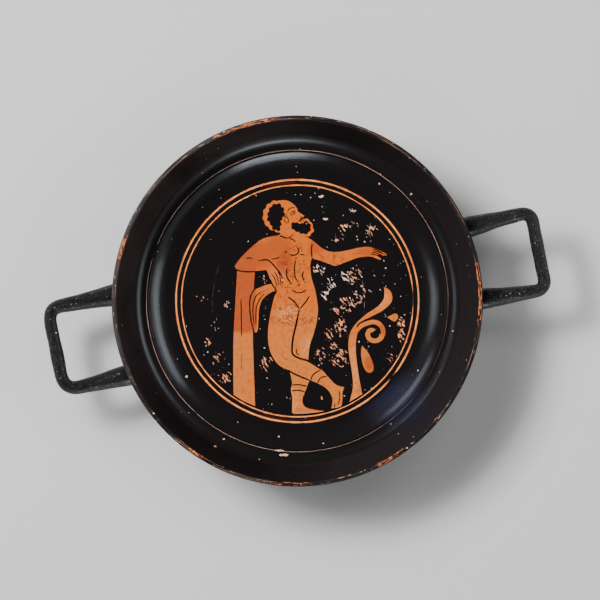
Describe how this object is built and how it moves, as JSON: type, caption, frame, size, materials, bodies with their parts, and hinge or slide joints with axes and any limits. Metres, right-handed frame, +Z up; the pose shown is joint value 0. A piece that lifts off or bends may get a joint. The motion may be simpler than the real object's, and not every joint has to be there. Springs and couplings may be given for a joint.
{
  "type": "kylix cup",
  "caption": "Shallow stemless drinking cup on a low ring foot, with an offset lip, looped side handles and a painted roundel inside.",
  "frame": {"origin": "centre of the foot's resting face, on the surface the cup stands on", "axes": "+Z up along the axis of the bowl, +X through the handles, +Y square to them"},
  "size_m": [0.2414, 0.176, 0.045],
  "materials": {
    "glazed_clay": "glossy black slip with an orange clay picture, worn at the rim"
  },
  "bodies": {
    "root": {"kylix_cup": "glazed_clay"}
  },
  "joints": []
}
